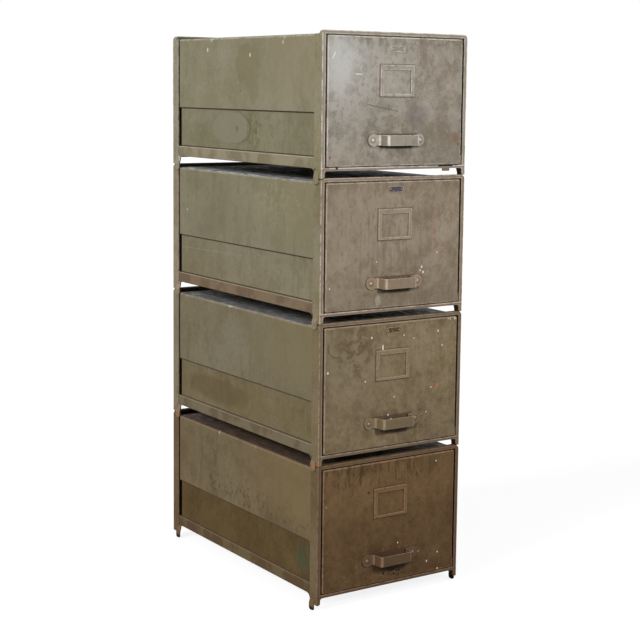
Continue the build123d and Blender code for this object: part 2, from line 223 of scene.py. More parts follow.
SECTIONS = (1, 2, 3, 4)
TONGUE_DROP = 13
PITCH = 315
RAIL_TOP = 22.5
SIDE_FACE = 8.5
TOP_FACE = 7.5
REAR_FLANGE = 28
HALF_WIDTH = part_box("section_1_case_cover")[1].x * 1000
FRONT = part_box("section_1_front_frame")[0].y * 1000
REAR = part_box("section_1_rear_frame")[1].y * 1000
CASE = {1: tone(136, 129, 104), 2: tone(127, 120, 96), 3: tone(117, 108, 84), 4: tone(107, 92, 65)}
CASE_DARK = {1: tone(118, 110, 80), 2: tone(107, 99, 72), 3: tone(98, 88, 62), 4: tone(84, 68, 42)}
CASE_PALE = {1: tone(150, 145, 124), 2: tone(140, 134, 112), 3: tone(127, 120, 99),
             4: tone(120, 106, 80)}
HOOP_FACE = {1: tone(158, 146, 136), 2: tone(146, 128, 112), 3: tone(122, 106, 86),
             4: tone(104, 82, 64)}
HOOP_SIDE = {1: tone(140, 133, 104), 2: tone(133, 122, 96), 3: tone(121, 108, 80),
             4: tone(98, 83, 54)}
# Pale edge tones, for rubbed paint and for painted highlights on the angle's edges.
HOOP_EDGE = {1: tone(214, 204, 192), 2: tone(200, 180, 164), 3: tone(164, 138, 116),
             4: tone(138, 108, 86)}
HOOP_REAR = {1: tone(151, 145, 128), 2: tone(150, 136, 116), 3: tone(135, 122, 103),
             4: tone(100, 80, 56)}
RUST = tone(128, 74, 44)
RUST_PALE = tone(164, 110, 80)
LINE = tone(74, 54, 44)
# Near black, for soot marks and for painted shade.
SOOT_AND_SHADE = tone(34, 30, 28)

for number in SECTIONS:
    for end in ("front", "rear"):
        hoop = Surface(f"hoop_enamel_{end}_{number}", leg_bottom(number))
        side = (HOOP_SIDE if end == "front" else HOOP_REAR)[number]
        hoop.enamel(side, CASE_DARK[number], CASE_PALE[number], number + 10)
        depth = hoop.y - FRONT if end == "front" else REAR - hoop.y
        face = depth.ease(2.4, 1.2)
        fade_and_sheen = hoop.cloud(40, number + 15).ease(0.4, 0.6)
        hoop.tint(HOOP_FACE[number], face * (0.55 + fade_and_sheen * 0.4))
        heel = (HALF_WIDTH - abs(hoop.x)).least(PITCH - hoop.z)
        lip = (abs(hoop.x) - (HALF_WIDTH - SIDE_FACE)).most(hoop.z - (PITCH - TOP_FACE))
        ragged = hoop.cloud(16, number + 20, detail=6).ease(0.38, 0.56)
        # The heel and inner edge lines are partly rubbed paint and partly a painted highlight.
        hoop.tint(HOOP_EDGE[number], heel.ease(2.6, 0.6) * depth.ease(3.0, 0.8) * ragged * 0.8)
        hoop.tint(HOOP_EDGE[number], abs(lip - 0.8).ease(1.2, 0.2) * face * ragged * 0.55)
        hoop.tint(LINE, heel.near(3.4, 0.4, 1.0) * face * hoop.cloud(24, number + 25) * 0.5)
        if end == "front":
            # Painted highlight: a pale line along the top edge of the cross rail.
            hoop.tint(HOOP_EDGE[number], hoop.z.near(RAIL_TOP - 1, 0.6, 1.0) * face * ragged * 0.9)
            hoop.tint(LINE, hoop.z.near(RAIL_TOP - 4.5, 0.5, 1.2) * face * 0.35)
        else:
            flange = hoop.z.between(10, 300, 3) * (REAR - REAR_FLANGE - hoop.y).ease(-2.5, -1.0)
            hoop.tint(HOOP_EDGE[number], flange * ragged * 0.5)
        rust = hoop.cloud(12, number + 30, detail=5).ease(0.5, 0.6) * hoop.z.ease(30, 2)
        hoop.tint(RUST, rust * 0.35)
        if number == 3:
            hoop.tint(RUST_PALE, hoop.cloud(9, 35).ease(0.44, 0.56) * hoop.z.ease(14, 2) * 0.6)
        if number == 1 and end == "front":
            # Painted shade: the black bar at the top of the cross rail stands in for a slot above
            # the catch plate.
            hoop.tint(SOOT_AND_SHADE, hoop.z.between(20.5, 24, 0.8) * hoop.x.between(120, 160, 2) * face)
            hoop.tint(SOOT_AND_SHADE, hoop.spot(hoop.x, (-156, 21), (3, 3)) * face)
            hoop.tint(SOOT_AND_SHADE, hoop.spot(hoop.y, (-296, 18), (2, 3)) * 0.8)
        if number == 2 and end == "front":
            hoop.tint(SOOT_AND_SHADE, hoop.spot(hoop.x, (164, 9), (9, 8), 0.6, 36) * face)
        chips = hoop.cloud(6, number + 40, detail=5).ease(0.6, 0.66)
        hoop.tint(RUST, chips * (heel.ease(6, 2) * 0.6))
        if number == 4:
            hoop.tint(SOOT_AND_SHADE, hoop.z.ease(-4, -7) * 0.95)
        dress(f"section_{number}_{end}_frame", hoop.finish())


# ---- Case covers -------------------------------------------------------------------------------
# Top and upper sides are folded from one sheet of 1.2 mm steel and hemmed along the seam. The
# enamel has dark stains and pale chips and is warmer towards the front. The top, roofed by the
# next section, is dull with dust. Its tone is painted lighter to stand in for light reaching it,
# its bright streaks are a painted reflection, and a pale line along its edge is a painted
# highlight.
SEAM = 140
COVER_TOP = 307.5
CASE_WARM = {1: tone(142, 132, 104), 2: tone(132, 124, 94), 3: tone(121, 108, 76),
             4: tone(120, 101, 66)}
# Dust tones of the top, painted lighter to stand in for light that reaches the roofed top.
TOP_DUST_AND_LIGHT = {1: tone(130, 124, 106), 2: tone(116, 117, 120), 3: tone(104, 102, 98),
            4: tone(74, 62, 50)}
TOP_SHEEN = {1: tone(141, 136, 120), 2: tone(228, 230, 234), 3: tone(158, 159, 158),
             4: tone(110, 88, 72)}
# Pale line tones; on the cover's top bend they are a painted highlight.
EDGE_LINE = {1: tone(166, 166, 146), 2: tone(148, 146, 124), 3: tone(140, 128, 112),
             4: tone(120, 98, 76)}
CHIP = tone(226, 222, 206)
RUBBED_PALE = tone(164, 157, 124)

for number in SECTIONS:
    cover = Surface(f"cover_enamel_{number}", leg_bottom(number))
    cover.enamel(CASE[number], CASE_DARK[number], CASE_PALE[number], number + 50)
    if number == 1:
        stain = cover.spot(cover.y, (-14, 242), (56, 50), 1.6, 61, 0.1)
        stain = stain.most(cover.spot(cover.y, (-36, 186), (22, 34), 1.2, 62, 0.1))
        cover.tint(tone(120, 110, 79), stain * 0.6)
        wet = cover.cloud(17, 63, stretch=(1, 1, 2), detail=6).ease(0.5, 0.56)
        wet = wet * cover.spot(cover.y, (-250, 215), (52, 66), 0.8, 60)
        cover.tint(tone(116, 108, 76), wet * 0.6)
        cover.tint(LINE, cover.spot(cover.y, (-302, 167), (3, 16), 0.6, 64) * 0.6)
        cover.tint(LINE, cover.spot(cover.y, (20, 184), (3, 3)) * 0.5)
        for place in ((176, 279), (157, 303), (-164, 292), (-22, 265), (-170, 303)):
            cover.tint(CHIP, cover.spot(cover.y, place, (3.4, 4.6), 2.0, place[1]) * 0.7)
    if number == 2:
        pale = cover.spot(cover.y, (-150, 240), (90, 60), 0.8, 65)
        cover.tint(RUBBED_PALE, cover.scratches(36, 1.4, 66, share=0.46) * pale * 0.6)
        rubbed = cover.cloud(16, 59, detail=6, rough=0.65).ease(0.5, 0.6)
        rubbed = rubbed * cover.spot(cover.y, (-170, 262), (110, 42), 0.8, 58, 0.6)
        cover.tint(RUBBED_PALE, rubbed * 0.5)
        cover.tint(CHIP, cover.spot(cover.y, (278, 205), (3, 2), 0.4, 67) * 0.5)
    if number == 3:
        cover.tint(CHIP, cover.spot(cover.y, (66, 306), (11, 3), 0.8, 68) * 0.9)
    if number == 4:
        band = cover.z.between(158, 196, 16) * cover.y.between(-280, 150, 40)
        mould = cover.cloud(11, 69, detail=6, rough=0.65).ease(0.53, 0.62)
        cover.tint(tone(66, 54, 32), mould * band * 0.7)
        cover.tint(SOOT_AND_SHADE, cover.spot(cover.y, (-253, 257), (4, 2.5), 0.5, 70) * 0.8)
        cover.tint(CHIP, cover.spot(cover.y, (-306, 161), (5, 3), 0.9, 71) * 0.7)
        cover.tint(RUST, cover.spot(cover.y, (-300, 300), (12, 6), 1.2, 72) * 0.5)
    warm = cover.y.ease(80, -260) * cover.z.ease(130, 200)
    cover.tint(CASE_WARM[number], warm * 0.6)
    # Painted light on the top: the dust tone is painted lighter, and bright streaks are a painted
    # reflection.
    top = cover.z.ease(COVER_TOP - 2.5, COVER_TOP - 0.3)
    sheen = cover.cloud(8, number + 73, stretch=(1.5, 5, 1), detail=7, rough=0.7)
    sheen = sheen.ease(0.42, 0.64)
    cover.tint(TOP_DUST_AND_LIGHT[number], top)
    cover.tint(TOP_SHEEN[number], top * sheen * 0.8)
    cover.rough = cover.rough - top * sheen * 0.25
    # Painted highlight: a pale line along the cover's top bend.
    wear_and_highlight = cover.cloud(14, number + 80, detail=5).ease(0.38, 0.56)
    cover.tint(EDGE_LINE[number], cover.z.near(COVER_TOP - 2.9, 0.9, 1.4) * wear_and_highlight * 0.75)
    cover.tint(LINE, cover.z.near(SEAM, 0.9, 0.9))
    chips = cover.cloud(11, number + 90, detail=6, rough=0.65).ease(0.64, 0.68)
    cover.tint(CHIP, chips * cover.z.near(COVER_TOP - 5.5, 2, 6) * 0.5)
    dress(f"section_{number}_case_cover", cover.finish(specular=0.4))


# ---- Lower sides -------------------------------------------------------------------------------
# Below the seam lies a second sheet, set in by 2.5 mm and folded out at its foot into the bottom
# rail. Its enamel is a little darker, and the rail's folds are rubbed to a pinkish brown.
LOWER = {1: tone(123, 117, 92), 2: tone(128, 120, 96), 3: tone(112, 100, 71), 4: tone(84, 66, 35)}
LOWER_DARK = {1: tone(107, 101, 72), 2: tone(106, 97, 70), 3: tone(92, 78, 50), 4: tone(66, 50, 24)}
LOWER_PALE = {1: tone(143, 138, 113), 2: tone(139, 132, 108), 3: tone(124, 114, 88),
              4: tone(100, 84, 52)}
RAIL_FOLD = 46
RAIL_WORN = {1: tone(148, 139, 114), 2: tone(124, 105, 82), 3: tone(114, 103, 80),
             4: tone(104, 88, 62)}
RAIL_SOIL = {1: tone(122, 112, 88), 2: tone(104, 86, 66), 3: tone(94, 82, 60), 4: tone(80, 62, 40)}

for number in SECTIONS:
    lower = Surface(f"lower_side_enamel_{number}", leg_bottom(number))
    lower.enamel(LOWER[number], LOWER_DARK[number], LOWER_PALE[number], number + 100)
    if number == 1:
        dried = lower.spot(lower.y, (68, 98), (94, 41), 0.3, 111, soft=0.05)
        inside = lower.spot(lower.y, (68, 98), (86, 37), 0.3, 111, soft=0.05)
        shade = lower.y.ease(80, -10)
        lower.tint(tone(134, 129, 108), dried * 0.7)
        lower.tint(LOWER_DARK[1], (dried - inside) * (0.3 + shade * 0.7))
        wet = lower.cloud(14, 112, detail=6).ease(0.46, 0.56)
        wet = wet * lower.spot(lower.y, (-34, 94), (30, 42), 0.6, 110)
        lower.tint(tone(104, 98, 68), wet * 0.8)
        lower.tint(LINE, lower.spot(lower.y, (40, 96), (5, 7), 1.2, 113) * 0.4)
    if number == 2:
        streak = lower.z - 116 + lower.y * 0.02
        lower.tint(LOWER_PALE[1], abs(streak).ease(1.6, 0.4) * lower.y.between(20, 300, 20) * 0.5)
        lower.tint(LOWER_PALE[1], lower.scratches(60, 1.0, 114, (1, 3, 1)) * 0.3)
    if number == 3:
        lower.tint(LOWER_DARK[3], lower.spot(lower.y, (130, 92), (120, 30), 1.4, 115) * 0.6)
    if number == 4:
        smear = lower.cloud(9, 116, stretch=(1, 1, 3)).ease(0.42, 0.6)
        smear = lower.spot(lower.y, (-276, 102), (40, 34), 1.0, 117, 0.5) * smear
        lower.tint(tone(62, 78, 56), smear)
        lower.tint(CHIP, lower.specks(40, 0.03, 0.4, 118) * 0.6)
    rail = lower.z.ease(RAIL_FOLD, RAIL_FOLD - 1.4)
    soil = lower.cloud(50, number + 120, detail=5).ease(0.44, 0.58)
    grit = lower.cloud(4, number + 125, detail=3).ease(0.5, 0.7)
    fold = lower.z.near(RAIL_FOLD - 2.2, 0.5, 0.9)
    lower.tint(RAIL_WORN[number], rail * 0.9)
    lower.tint(RAIL_SOIL[number], rail * soil * 0.8)
    lower.tint(RAIL_SOIL[number], rail * grit * 0.4)
    lower.tint(EDGE_LINE[number], fold * lower.cloud(18, number + 128) * 1.2)
    lower.tint(LINE, lower.z.near(RAIL_FOLD + 0.6, 0.9, 1.0) * 0.95)
    rust = lower.cloud(9, number + 130, detail=5).ease(0.57, 0.64) * lower.z.ease(36, 18)
    lower.tint(RUST, rust * 0.3)
    # Painted shadow: a dark band on the lower sheet's top edge, under the cover's hem.
    lower.tint(LINE, lower.z.near(SEAM, 1.4, 1.2) * 0.8)
    dress(f"section_{number}_lower_sides", lower.finish())


# ---- Back sheets -------------------------------------------------------------------------------
# A flat sheet closes the rear hoop, with a flange running forward inside the cover. It stood
# against walls, so the enamel is dusty and even, with scuffs.
for number in SECTIONS:
    back = Surface(f"back_enamel_{number}", leg_bottom(number))
    back.enamel(LOWER[number], LOWER_DARK[number], CASE[number], number + 140, runs=0.5)
    back.tint(CASE_PALE[number], back.scratches(70, 0.8, number + 150) * 0.5)
    dress(f"section_{number}_back_panel", back.finish())


# ---- Tracks, rails and rollers -----------------------------------------------------------------
# The drawer runs on turned steel rollers in channels of plain steel strip. The steel is grey and
# oily, browned with old grease, and the rollers are brighter where they run.
def runner_steel(name, base, grey, seed):
    """Plain strip: drawn streaks along the depth, dark grease and a little rust."""
    steel = Surface(name, base)
    steel.colour = grey
    streak = steel.cloud(6, seed, stretch=(1, 12, 1))
    grease = steel.cloud(30, seed + 1).ease(0.45, 0.7)
    steel.tint(tone(70, 62, 52), grease * 0.6)
    steel.tint(tone(150, 148, 142), streak.ease(0.5, 0.8) * 0.4)
    steel.tint(RUST, steel.cloud(12, seed + 2).ease(0.58, 0.7) * 0.4)
    steel.rough = 0.35 + grease * 0.25 + streak * 0.1
    steel.height = streak * 0.05
    return steel.finish(metallic=0.75, specular=0.5)


STRIP_GREY = tone(118, 114, 106)
WHEEL_GREY = tone(150, 147, 140)

for number in SECTIONS:
    strip = runner_steel(f"runner_strip_{number}", leg_bottom(number), STRIP_GREY, number)
    wheel = runner_steel(f"roller_steel_{number}", leg_bottom(number), WHEEL_GREY, number + 4)
    for piece in ("drawer_tracks", "drawer_rails"):
        dress(f"section_{number}_{piece}", strip)
    for piece in ("case_rollers", "drawer_rollers"):
        dress(f"section_{number}_{piece}", wheel)


# ---- Drawer boxes ------------------------------------------------------------------------------
# The open box is thin sheet with a rolled rim and pressed floor beads. Its enamel was never in
# the light, so it is the cleanest, with rubbed paint on the rim and scuffs from papers.
BOX_RIM = 265
BOX_TONE = tone(104, 101, 84)
BOX_DARK = tone(86, 82, 64)
BOX_PALE = tone(122, 119, 102)

for number in SECTIONS:
    box = Surface(f"box_enamel_{number}", leg_bottom(number))
    box.enamel(BOX_TONE, BOX_DARK, BOX_PALE, number + 160, runs=0.15)
    rolled = box.z.ease(BOX_RIM - 3, BOX_RIM - 0.5)
    box.tint(tone(142, 138, 126), rolled * box.cloud(18, number + 170) * 0.8)
    box.tint(tone(134, 130, 114), box.scratches(50, 0.6, number + 175) * 0.4)
    dress(f"section_{number}_drawer_box", box.finish())


# ---- Drawer fronts -----------------------------------------------------------------------------
# Each front is a pan pressed from 1.5 mm sheet with rounded edges. Four sections of different age
# were stacked, so the enamel runs from bright grey at the top to rusty brown at the bottom. A dark
# band on the front below each grip deepens the shadow that the grip throws there.
FRONT_TONE = {1: tone(149, 140, 126), 2: tone(142, 128, 108), 3: tone(133, 116, 88),
              4: tone(110, 84, 54)}
FRONT_DARK = {1: tone(112, 102, 87), 2: tone(112, 97, 78), 3: tone(98, 82, 57), 4: tone(78, 56, 31)}
FRONT_PALE = {1: tone(164, 157, 146), 2: tone(157, 144, 126), 3: tone(147, 132, 108),
              4: tone(134, 106, 74)}
# Pale tones of the painted sheen towards each front's upper left.
FRONT_SHEEN = {1: tone(172, 169, 162), 2: tone(142, 128, 109), 3: tone(128, 114, 90),
              4: tone(116, 90, 60)}
RIM_WORN = {1: tone(186, 180, 168), 2: tone(166, 150, 132), 3: tone(150, 132, 108),
            4: tone(138, 108, 80)}
FRONT_WEAR = {1: 1, 2: 0.85, 3: 0.6, 4: 0.6}
DRAWER_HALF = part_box("section_1_drawer_front")[1].x * 1000
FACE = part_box("section_1_drawer_front")[0].y * 1000
DRAWER_LOW = 23.7
DRAWER_TOP = 305
GRIP_HEIGHT = 80.5
GRIP_HALF_HEIGHT = 11.5
GRIP_HALF_LENGTH = 40
RIVET_ACROSS = 64
FOOT_RADIUS = 13
CARD_HEIGHT = 210
CARD_HALF = (46, 34.5)
CARD_WINDOW_HALF = 36.5
CARD_WINDOW_LOW = 182
CARD_WINDOW_TOP = 233
# Place and size of the painted shadow below each grip.
GRIP_SHADOW_ACROSS = 16
GRIP_SHADOW_HALF_LENGTH = 46
ORANGE = tone(198, 104, 60)
PLUM = tone(104, 90, 92)

# White paint drops seen on each front: across, height and radius in millimetres.
DROPS = {1: (),
         2: ((77, 110, 2.2), (73, 103, 1.8), (81, 98, 2.4), (120, 141, 1.4), (-48, 128, 1.3),
             (-172, 76, 1.4)),
         3: ((-58, 274, 2.0), (31, 273, 1.5), (128, 275, 2.0), (-174, 206, 2.2), (-74, 177, 1.6),
             (6, 135, 1.4), (110, 146, 1.5), (97, 90, 1.5), (-10, 95, 1.8), (-2, 84, 2.0),
             (59, 264, 1.2), (140, 241, 1.5)),
         4: ((129, 286, 1.6), (23, 109, 1.6), (82, 79, 1.2), (138, 68, 1.6), (107, 51, 2.0),
             (139, 28, 1.8), (-68, 81, 1.4))}

for number in SECTIONS:
    front = Surface(f"front_enamel_{number}", leg_bottom(number))
    front.enamel(FRONT_TONE[number], FRONT_DARK[number], FRONT_PALE[number], number + 180)
    # Painted sheen: the front is painted lighter towards its upper left, where a reflection lies.
    fade_and_sheen = front.x.ease(90, -160) * front.z.ease(30, 240)
    front.tint(FRONT_SHEEN[number], fade_and_sheen * (0.55 + front.cloud(70, number + 185) * 0.5))
    run = 2.2 if number == 2 else 1.2
    strength = FRONT_WEAR[number]
    wear = front.cloud(11, number + 195, stretch=(1, 1, run), detail=7, rough=0.72)
    front.tint(FRONT_DARK[number], wear.ease(0.5, 0.66) * 0.65 * strength)
    front.tint(FRONT_PALE[number], wear.ease(0.46, 0.32) * 0.55 * strength)
    blotch = front.cloud(44, number + 193, detail=7, rough=0.66)
    front.tint(FRONT_DARK[number], blotch.ease(0.53, 0.6) * 0.4 * strength)
    front.tint(FRONT_PALE[number], blotch.ease(0.46, 0.4) * 0.35 * strength)
    streaks = front.cloud(12, number + 197, stretch=(1, 1, 3), detail=6).ease(0.46, 0.6)
    front.tint(FRONT_DARK[number], streaks * front.z.ease(262, 302) * 0.6)
    low_right = front.x.ease(-40, 180) * front.z.ease(200, 40)
    front.tint(FRONT_DARK[number], low_right * 0.3)
    across = abs(front.x) - RIVET_ACROSS
    off_strap = (across.most(0) ** 2 + (front.z - GRIP_HEIGHT) ** 2) ** 0.5 - FOOT_RADIUS
    grime = front.cloud(20, number + 200, detail=6).ease(0.42, 0.62)
    front.tint(FRONT_DARK[number], off_strap.ease(46, 4) * grime * 0.7)
    # Painted shade: a dark rim round the handle's feet where they meet the front.
    front.tint(LINE, off_strap.ease(2.4, 0.4) * 0.7)
    # Painted shadow: a dark band on the front just below the grip.
    place = (GRIP_SHADOW_ACROSS, GRIP_HEIGHT - GRIP_HALF_HEIGHT - 3 * number)
    band = front.spot(front.x, place, (GRIP_SHADOW_HALF_LENGTH, 3 + 1.6 * number), 0.3, 203, 0.5)
    front.tint(SOOT_AND_SHADE, band * 0.85)
    card = (abs(front.x) - CARD_HALF[0]).most(abs(front.z - CARD_HEIGHT) - CARD_HALF[1])
    front.tint(LINE, card.near(1.0, 0.5, 1.2) * 0.55)
    rim = (DRAWER_HALF - abs(front.x)).least(DRAWER_TOP - front.z).least(front.z - DRAWER_LOW)
    rubbed = front.cloud(18, number + 190, detail=6).ease(0.4, 0.55)
    front.tint(FRONT_DARK[number], rim.ease(24, 4) * grime * 0.4)
    front.tint(RIM_WORN[number], rim.near(1.8, 0.7, 1.3) * (0.25 + rubbed * 0.75))
    front.tint(LINE, rim.ease(0.9, 0.1) * 0.6)
    front.tint(FRONT_PALE[number], front.scratches(90, 0.9, number + 210) * 0.5)
    if number == 1:
        # Painted sheen: a pale patch high on the left of the top front.
        sheen_spot = front.spot(front.x, (-150, 250), (44, 60), 0.9, 211, 0.7)
        front.tint(tone(190, 189, 184), sheen_spot * 0.6)
        front.tint(PLUM, front.spot(front.x, (51, 135), (26, 24), 1.4, 212, 0.6) * 0.5)
        slant = front.z - 144.5 + front.x * 0.17
        front.tint(LINE, abs(slant).ease(1.6, 0.3) * front.x.between(-74, 1, 8) * 0.6)
        tilt = front.x + 167 - (front.z - 262) * 0.55
        front.tint(CHIP, abs(tilt).ease(2.0, 0.6) * front.z.between(256, 268, 2) * 0.9)
        front.tint(CHIP, front.spot(front.x, (-102, 223), (10, 1.2), 0.3, 213) * 0.8)
        front.tint(RUST, front.spot(front.x, (-175, 44), (3, 3), 0.4, 214) * 0.8)
        front.tint(SOOT_AND_SHADE, front.spot(front.x, (174, 70), (2, 2)) * 0.8)
        front.tint(RUST, front.spot(front.x, (166, 84), (8, 12), 1.4, 215) * 0.35)
    if number == 2:
        runs = front.cloud(9, 216, stretch=(1, 1, 9), detail=5).ease(0.48, 0.62)
        above = front.z.between(96, 210, 40) * front.x.between(-70, 60, 40)
        front.tint(FRONT_DARK[2], runs * above * 0.45)
        crayon = front.x.near(107, 0.6, 1.6) * front.z.between(153, 219, 12)
        front.tint(tone(176, 122, 110), crayon * 0.5)
        front.tint(CHIP, front.spot(front.x, (-43, 41), (7, 12), 1.5, 217) * 0.2)
        front.tint(FRONT_DARK[2], front.x.ease(0, -150) * front.z.ease(130, 50) * 0.3)
    if number == 3:
        mark = front.cloud(18, 227, detail=7, rough=0.68).ease(0.44, 0.56)
        mark = front.spot(front.x, (-100, 244), (52, 50), 1.8, 218, 0.5) * mark
        front.tint(tone(92, 76, 50), mark * 0.75)
        front.tint(ORANGE, front.spot(front.x, (127, 149), (3.4, 5)) * 0.95)
        front.tint(CHIP, front.spot(front.x, (-27, 249), (2.0, 7), 0.4, 219) * 0.9)
        nicks = front.scratches(9, 0.9, 220, share=0.4)
        front.tint(CHIP, nicks * front.spot(front.x, (168, 300), (12, 4)))
        bow = ((front.x + 150) ** 2 + (front.z - 262) ** 2) ** 0.5
        front.tint(LINE, bow.near(24, 0.6, 1.4) * (front.x + front.z).ease(102, 92) * 0.6)
        stains = front.cloud(6, 221, detail=5).ease(0.54, 0.62)
        front.tint(LINE, stains * front.spot(front.x, (78, 80), (30, 22), 0.8, 222, 0.5) * 0.7)
    if number == 4:
        drip = front.cloud(12, 223, stretch=(1, 1, 4), detail=5).ease(0.5, 0.6)
        front.tint(tone(58, 42, 28), drip * front.z.between(262, 296, 14) * 0.6)
        front.tint(FRONT_PALE[4], front.x.ease(20, 160) * front.z.ease(140, 250) * 0.25)
        front.tint(FRONT_DARK[4], front.z.near(150, 20, 60) * 0.3)
        front.tint(SOOT_AND_SHADE, front.spot(front.x, (-60, 237), (3, 3)) * 0.7)
        dots = front.specks(7, 0.5, 0.7, 224) * front.spot(front.x, (8, 41), (34, 10), 0.4, 225)
        front.tint(SOOT_AND_SHADE, dots)
        front.tint(CHIP, front.specks(11, 0.14, 0.3, 226) * front.x.ease(-166, -172) * 0.7)
        front.tint(RUST_PALE, front.z.near(26, 1, 2) * front.x.ease(110, 150) * rubbed * 0.5)
    for x, z, radius in DROPS[number]:
        front.tint(CHIP, front.spot(front.x, (x, z), (radius, radius * 1.3)) * 0.9)
    front.tint(CHIP, front.specks(30, 0.035, 0.3 if number == 3 else 0.1, number + 230) * 0.7)
    dress(f"section_{number}_drawer_front", front.finish())


# ---- Card holders ------------------------------------------------------------------------------
# A pressed frame with rolled edges holds the drawer's card. It was painted in place with the
# front, and its raised borders have lost the paint's grime.
for number in SECTIONS:
    holder = Surface(f"holder_enamel_{number}", leg_bottom(number))
    holder.enamel(FRONT_TONE[number], FRONT_DARK[number], FRONT_PALE[number], number + 240)
    crest = (FACE - holder.y).ease(2.2, 3.0)
    outer = (CARD_HALF[0] - abs(holder.x)).least(CARD_HALF[1] - abs(holder.z - CARD_HEIGHT))
    wear_and_highlight = holder.cloud(9, number + 250, detail=5).ease(0.36, 0.54)
    inner = (abs(holder.x) - CARD_WINDOW_HALF).most(holder.z - CARD_WINDOW_TOP)
    inner = inner.most(CARD_WINDOW_LOW - holder.z)
    holder.tint(FRONT_PALE[number], crest * wear_and_highlight * 0.2)
    holder.tint(RIM_WORN[number], outer.near(1.4, 0.5, 0.9).most(inner.near(1.2, 0.5, 0.9)) * wear_and_highlight)
    holder.tint(LINE, (FACE - holder.y).ease(1.7, 0.4) * 0.7)
    dress(f"section_{number}_card_holder", holder.finish())


# ---- Handles and rivets ------------------------------------------------------------------------
# The pull is one strap of 2.5 mm steel with two round feet, riveted on and painted over. Its
# bends, the grip's edges and the rivet heads are pale, partly from worn paint and partly as a
# painted highlight.
STRAP_BASE = {1: tone(144, 136, 122), 2: tone(132, 112, 92), 3: tone(112, 95, 69),
              4: tone(90, 67, 44)}
# Pale tones of the strap's bends and edges, partly worn paint and partly a painted highlight.
STRAP_WEAR_AND_HIGHLIGHT = {1: tone(206, 198, 188), 2: tone(176, 152, 130), 3: tone(148, 128, 100),
              4: tone(130, 102, 78)}

for number in SECTIONS:
    strap = Surface(f"handle_enamel_{number}", leg_bottom(number))
    strap.enamel(STRAP_BASE[number], FRONT_DARK[number], FRONT_TONE[number], number + 260)
    out = FACE - strap.y
    corner = out.ease(26, 28.5) * abs(strap.x).near(GRIP_HALF_LENGTH, 1.5, 2.0)
    rise = GRIP_HALF_HEIGHT - abs(strap.z - GRIP_HEIGHT)
    wear_and_highlight = strap.cloud(6, number + 270, detail=5).ease(0.34, 0.56)
    strap.tint(FRONT_DARK[number], out.between(8, 24, 3) * 0.5)
    # Pale bends, grip edges and rivet heads: partly worn paint and partly a painted highlight.
    strap.tint(STRAP_WEAR_AND_HIGHLIGHT[number], corner.most(out.near(5.0, 1.2, 2.0)) * (0.4 + wear_and_highlight * 0.55))
    strap.tint(STRAP_WEAR_AND_HIGHLIGHT[number], rise.ease(1.3, 0.4) * out.ease(8, 12) * wear_and_highlight * 0.7)
    knob = ((abs(strap.x) - RIVET_ACROSS) ** 2 + (strap.z - GRIP_HEIGHT) ** 2) ** 0.5
    strap.tint(LINE, knob.near(5.6, 0.4, 1.0) * out.ease(6, 4) * 0.7)
    head = knob.ease(4.0, 1.5) * out.ease(3.0, 4.2) * out.ease(7, 6)
    strap.tint(STRAP_WEAR_AND_HIGHLIGHT[number], head * 0.4)
    dress(f"section_{number}_handle", strap.finish(specular=0.5))
    dress(f"section_{number}_handle_rivets", strap.material)


# ---- Badge plates and catch --------------------------------------------------------------------
# The three upper fronts have a small blank plate near the top edge, held by two pins. The top
# section also has a catch plate hanging under the right end of its cross rail.
def mound(name, centre, half, power, rows, steps=64):
    """Closed plate on a wall that faces the front.

    Each row is one loop (inset, rise). Round the loop, x is the cosine times half[0] less the
    inset, and z the sine times half[1] less the inset. Cosine and sine are raised to 2 / power,
    which squares the oval up. The loop stands out from the wall by its rise. Quads join the loops
    and a cap closes each end.
    """
    turn = np.linspace(0, 2 * np.pi, steps, endpoint=False)
    inset, rise = np.array(rows, float).T
    bow = [np.sign(v) * np.abs(v) ** (2 / power) for v in (np.cos(turn), np.sin(turn))]
    x = centre[0] + (half[0] - inset)[:, None] * bow[0]
    z = centre[2] + (half[1] - inset)[:, None] * bow[1]
    y = centre[1] - rise[:, None] + 0 * x
    points = np.stack([x, y, z], -1).reshape(-1, 3) / 1000
    index = np.arange(len(rows) * steps).reshape(len(rows), steps)
    after = np.roll(index, -1, axis=1)
    quads = np.stack([index[:-1], after[:-1], after[1:], index[1:]], -1).reshape(-1, 4)
    faces = quads.tolist() + [index[0][::-1].tolist(), index[-1].tolist()]
    mesh = bpy.data.meshes.new(name)
    mesh.from_pydata(points.tolist(), [], faces)
    mesh.polygons.foreach_set("use_smooth", np.ones(len(faces), bool))
    plate = bpy.data.objects.new(name, mesh)
    bpy.context.scene.collection.objects.link(plate)
    return plate


BADGE_ACROSS = 2
BADGE_HALF = (20, 7)
BADGE_POWER = 5
BADGE_RIM = ((0, -0.3), (0, 0.6), (0.15, 0.95), (0.5, 1.1), (1.1, 1.1), (1.5, 0.95), (1.8, 0.55),
             (2.4, 0.45), (4.0, 0.45))
PIN_REACH = 15
PIN_HALF = (1.7, 1.7)
PIN_SUNK = 0.4
PIN_STEPS = 32
PIN_DOME = ((0, 0), (0, 0.3), (0.2, 0.75), (0.6, 1.05), (1.1, 1.2))
BADGE_HEIGHT = {1: 279, 2: 287, 3: 287}
BADGE_RIM_TONE = {1: tone(190, 184, 174), 2: tone(146, 134, 126), 3: tone(156, 144, 118)}
BADGE_FIELD = {1: tone(140, 132, 120), 2: tone(70, 66, 74), 3: tone(84, 66, 34)}

